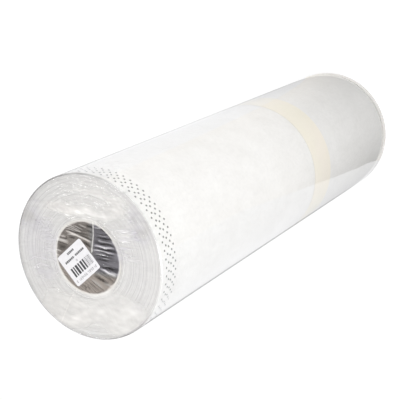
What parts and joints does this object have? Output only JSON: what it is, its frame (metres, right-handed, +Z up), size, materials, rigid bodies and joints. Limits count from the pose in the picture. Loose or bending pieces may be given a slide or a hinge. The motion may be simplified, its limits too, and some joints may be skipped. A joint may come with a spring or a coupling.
{
  "type": "roll of vapour barrier membrane",
  "caption": "Wound roll of white felt-like vapour barrier membrane on a cardboard core, held by a tape band and packed in clear shrink film with a small paper label on its end.",
  "frame": {"origin": "on the floor under the roll's axis, at the far end that it stands on (bottom centre of the bounding box)", "axes": "+Z up along the roll's axis, from the far end to the labelled end; +Y towards the side that the picture shows underneath, and +X towards the side that it shows on the left"},
  "size_m": [0.1756, 0.1756, 0.6299],
  "materials": {
    "core_board": "plain brown spiral-wound board, pale at the cut ends",
    "membrane_felt": "white spun-bonded felt, matt, with small dark printed dots along one edge",
    "tape_film": "translucent beige packing tape",
    "wrap_film": "clear glossy shrink film, crinkled over the ends",
    "label_paper": "white semi-gloss label with plain printed bars and digits"
  },
  "bodies": {
    "root": {"core": "core_board", "membrane": "membrane_felt", "closure_tape": "tape_film", "shrink_film": "wrap_film", "label": "label_paper"}
  },
  "joints": []
}
